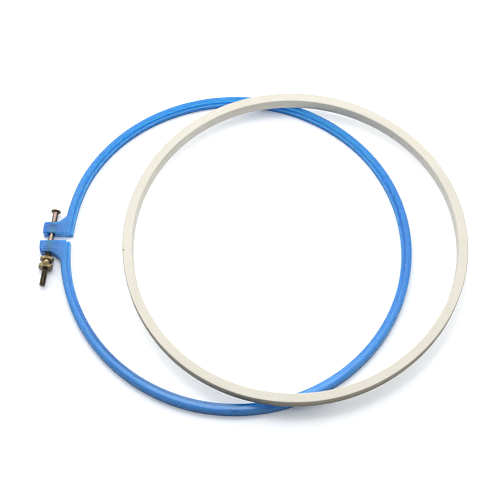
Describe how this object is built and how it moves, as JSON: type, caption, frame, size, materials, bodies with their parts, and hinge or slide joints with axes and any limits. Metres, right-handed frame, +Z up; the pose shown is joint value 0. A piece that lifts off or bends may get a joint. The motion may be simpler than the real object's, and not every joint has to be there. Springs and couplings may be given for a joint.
{
  "type": "embroidery hoop",
  "caption": "Round plastic embroidery hoop, taken apart: a split outer ring with a clamp screw and thumb nut at its lugs, and a closed inner ring lying on it.",
  "frame": {"origin": "centre of the bounding box's footprint, on the surface that the hoop lies on", "axes": "+Z up from the table; +X from the clamp lugs across the outer ring to the far side; +Y from the lower lug to the upper lug"},
  "size_m": [0.3068, 0.254, 0.0179],
  "materials": {
    "blue_plastic": "smooth translucent moulding",
    "cream_plastic": "satin moulding",
    "dark_brass": "tarnished, turned",
    "brass": "turned"
  },
  "bodies": {
    "lower_arm": {"outer_ring_lower_arm": "blue_plastic"},
    "upper_arm": {"outer_ring_upper_arm": "blue_plastic"},
    "inner_ring": {"inner_ring": "cream_plastic"},
    "screw": {"clamp_screw": "dark_brass"},
    "nut": {"thumb_nut": "brass"}
  },
  "joints": [
    {"name": "gap_flex", "type": "hinge", "parent": "lower_arm", "child": "upper_arm", "pos_m": [0.11154, -0.00798, 0.0042], "axis": [0, 0, 1], "range_deg": [-0.7, 1.1], "stiffness_Nm_per_rad": 0.93},
    {"name": "screw_slide", "type": "slide", "parent": "lower_arm", "child": "screw", "axis": [-0.1186, -0.9929, 0], "range_m": [-0.0126, 0.0042]},
    {"name": "nut_spin", "type": "hinge", "parent": "lower_arm", "child": "nut", "pos_m": [-0.1431, 0.0295, 0.00515], "axis": [0.1186, 0.9929, 0], "range_deg": [-6490, 2170]},
    {"name": "inner_ring_lift", "type": "slide", "parent": "lower_arm", "child": "inner_ring", "axis": [0, 0, 1], "range_m": [0, 0.08]}
  ],
  "couplings": [
    {"joint": "nut_spin", "follows": "screw_slide", "rad_per_m": 8976}
  ]
}
